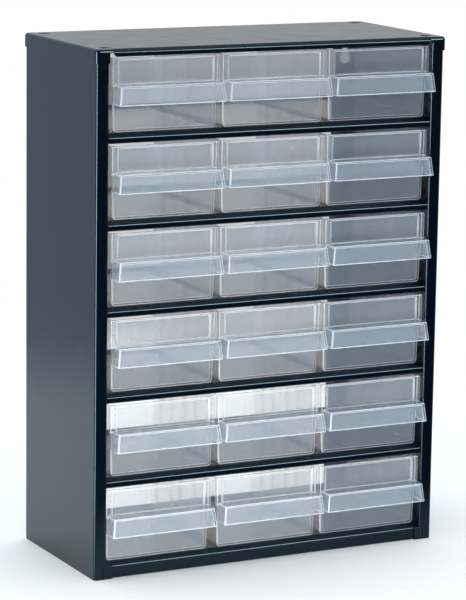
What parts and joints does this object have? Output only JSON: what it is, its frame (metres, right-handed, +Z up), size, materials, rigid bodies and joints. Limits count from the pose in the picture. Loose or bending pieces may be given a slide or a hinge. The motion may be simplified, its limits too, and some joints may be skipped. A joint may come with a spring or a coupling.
{
  "type": "parts organizer",
  "caption": "Upright bent-steel cabinet, open at the back, with columns of clear pull-out plastic drawers standing on steel shelves, for sorting small parts.",
  "frame": {"origin": "middle of the underside of the whole cabinet, its drawer pulls included", "axes": "+Z up, +Y from the drawers' fronts towards the open back, +X to the right as a person faces the drawers"},
  "size_m": [0.306, 0.148, 0.413],
  "materials": {
    "painted_steel": "smooth glossy powder coat, very dark blue",
    "clear_plastic": "milky clear moulded polypropylene, glossy outside"
  },
  "bodies": {
    "cabinet": {"side_panel_left": "painted_steel", "side_panel_right": "painted_steel", "top_cap": "painted_steel", "base_panel": "painted_steel", "shelf_1": "painted_steel", "shelf_2": "painted_steel", "shelf_3": "painted_steel", "shelf_4": "painted_steel", "shelf_5": "painted_steel"},
    "drawer_r1c1": {"drawer_r1c1": "clear_plastic"},
    "drawer_r1c2": {"drawer_r1c2": "clear_plastic"},
    "drawer_r1c3": {"drawer_r1c3": "clear_plastic"},
    "drawer_r2c1": {"drawer_r2c1": "clear_plastic"},
    "drawer_r2c2": {"drawer_r2c2": "clear_plastic"},
    "drawer_r2c3": {"drawer_r2c3": "clear_plastic"},
    "drawer_r3c1": {"drawer_r3c1": "clear_plastic"},
    "drawer_r3c2": {"drawer_r3c2": "clear_plastic"},
    "drawer_r3c3": {"drawer_r3c3": "clear_plastic"},
    "drawer_r4c1": {"drawer_r4c1": "clear_plastic"},
    "drawer_r4c2": {"drawer_r4c2": "clear_plastic"},
    "drawer_r4c3": {"drawer_r4c3": "clear_plastic"},
    "drawer_r5c1": {"drawer_r5c1": "clear_plastic"},
    "drawer_r5c2": {"drawer_r5c2": "clear_plastic"},
    "drawer_r5c3": {"drawer_r5c3": "clear_plastic"},
    "drawer_r6c1": {"drawer_r6c1": "clear_plastic"},
    "drawer_r6c2": {"drawer_r6c2": "clear_plastic"},
    "drawer_r6c3": {"drawer_r6c3": "clear_plastic"}
  },
  "joints": [
    {"name": "slide_r1c1", "type": "slide", "parent": "cabinet", "child": "drawer_r1c1", "axis": [0, -1, 0], "range_m": [0, 0.102]},
    {"name": "slide_r1c2", "type": "slide", "parent": "cabinet", "child": "drawer_r1c2", "axis": [0, -1, 0], "range_m": [0, 0.102]},
    {"name": "slide_r1c3", "type": "slide", "parent": "cabinet", "child": "drawer_r1c3", "axis": [0, -1, 0], "range_m": [0, 0.102]},
    {"name": "slide_r2c1", "type": "slide", "parent": "cabinet", "child": "drawer_r2c1", "axis": [0, -1, 0], "range_m": [0, 0.102]},
    {"name": "slide_r2c2", "type": "slide", "parent": "cabinet", "child": "drawer_r2c2", "axis": [0, -1, 0], "range_m": [0, 0.102]},
    {"name": "slide_r2c3", "type": "slide", "parent": "cabinet", "child": "drawer_r2c3", "axis": [0, -1, 0], "range_m": [0, 0.102]},
    {"name": "slide_r3c1", "type": "slide", "parent": "cabinet", "child": "drawer_r3c1", "axis": [0, -1, 0], "range_m": [0, 0.102]},
    {"name": "slide_r3c2", "type": "slide", "parent": "cabinet", "child": "drawer_r3c2", "axis": [0, -1, 0], "range_m": [0, 0.102]},
    {"name": "slide_r3c3", "type": "slide", "parent": "cabinet", "child": "drawer_r3c3", "axis": [0, -1, 0], "range_m": [0, 0.102]},
    {"name": "slide_r4c1", "type": "slide", "parent": "cabinet", "child": "drawer_r4c1", "axis": [0, -1, 0], "range_m": [0, 0.102]},
    {"name": "slide_r4c2", "type": "slide", "parent": "cabinet", "child": "drawer_r4c2", "axis": [0, -1, 0], "range_m": [0, 0.102]},
    {"name": "slide_r4c3", "type": "slide", "parent": "cabinet", "child": "drawer_r4c3", "axis": [0, -1, 0], "range_m": [0, 0.102]},
    {"name": "slide_r5c1", "type": "slide", "parent": "cabinet", "child": "drawer_r5c1", "axis": [0, -1, 0], "range_m": [0, 0.102]},
    {"name": "slide_r5c2", "type": "slide", "parent": "cabinet", "child": "drawer_r5c2", "axis": [0, -1, 0], "range_m": [0, 0.102]},
    {"name": "slide_r5c3", "type": "slide", "parent": "cabinet", "child": "drawer_r5c3", "axis": [0, -1, 0], "range_m": [0, 0.102]},
    {"name": "slide_r6c1", "type": "slide", "parent": "cabinet", "child": "drawer_r6c1", "axis": [0, -1, 0], "range_m": [0, 0.102]},
    {"name": "slide_r6c2", "type": "slide", "parent": "cabinet", "child": "drawer_r6c2", "axis": [0, -1, 0], "range_m": [0, 0.102]},
    {"name": "slide_r6c3", "type": "slide", "parent": "cabinet", "child": "drawer_r6c3", "axis": [0, -1, 0], "range_m": [0, 0.102]}
  ]
}
